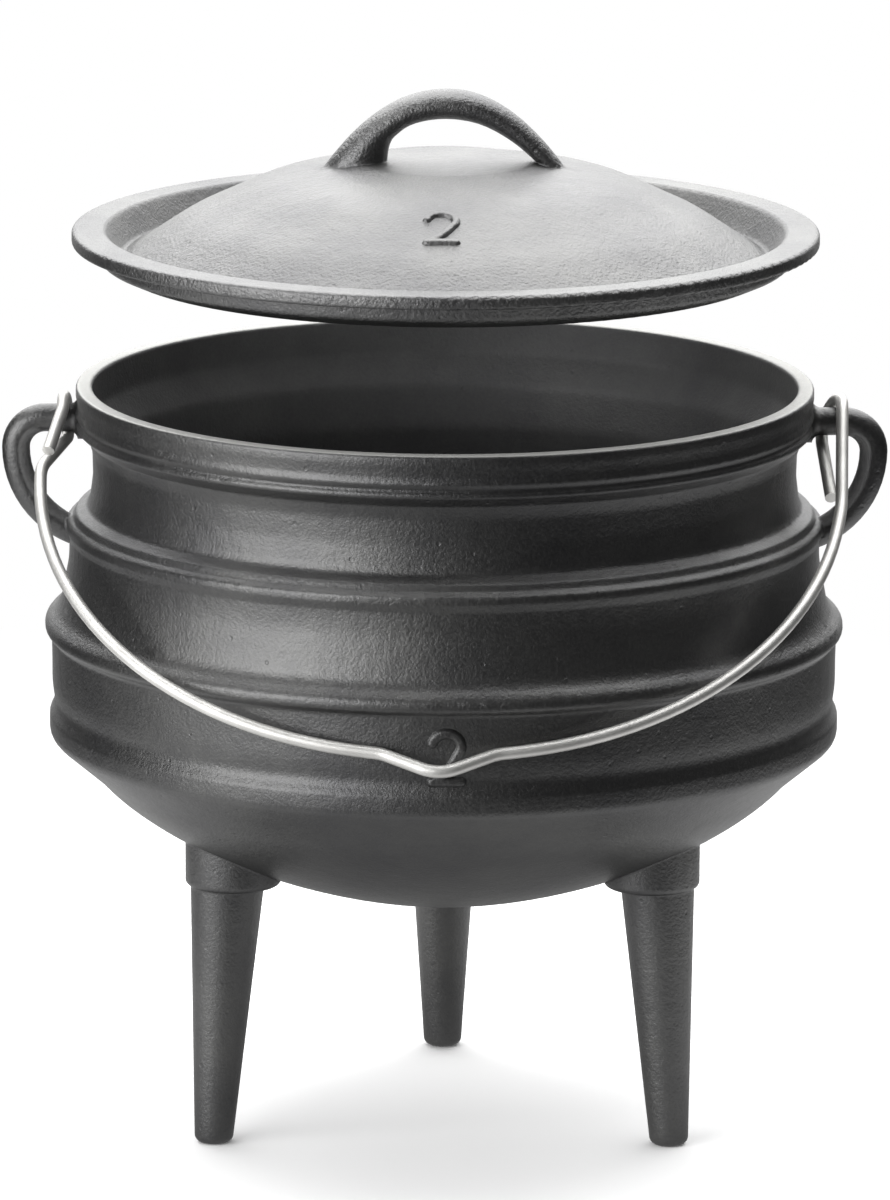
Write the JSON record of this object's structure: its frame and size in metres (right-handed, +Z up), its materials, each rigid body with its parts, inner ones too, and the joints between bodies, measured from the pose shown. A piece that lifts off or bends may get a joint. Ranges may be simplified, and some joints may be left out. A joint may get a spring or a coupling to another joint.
{
  "type": "three-legged cast iron pot",
  "caption": "Round-bellied cast iron cooking pot on splayed legs, with ribbed sides, looped ears, a hooked steel wire bail leaning on its front and a domed lid held above the rim.",
  "frame": {"origin": "On the ground, in the middle between the three feet and on the pot's own vertical axis", "axes": "+Z up; +X towards the right ear as seen from the front; -Y towards the viewer, where the bail leans on the belly"},
  "size_m": [0.2846, 0.2644, 0.3362],
  "materials": {
    "pot_iron": "satin",
    "lid_iron": "satin",
    "wire_steel": "drawn steel wire, bright"
  },
  "bodies": {
    "pot": {"pot": "pot_iron", "lid": "lid_iron"},
    "bail": {"bail_handle": "wire_steel"}
  },
  "joints": [
    {"name": "bail_swing", "type": "hinge", "parent": "pot", "child": "bail", "pos_m": [0, 0, 0.2288], "axis": [-1, 0, 0], "range_deg": [0, 244.5]}
  ]
}
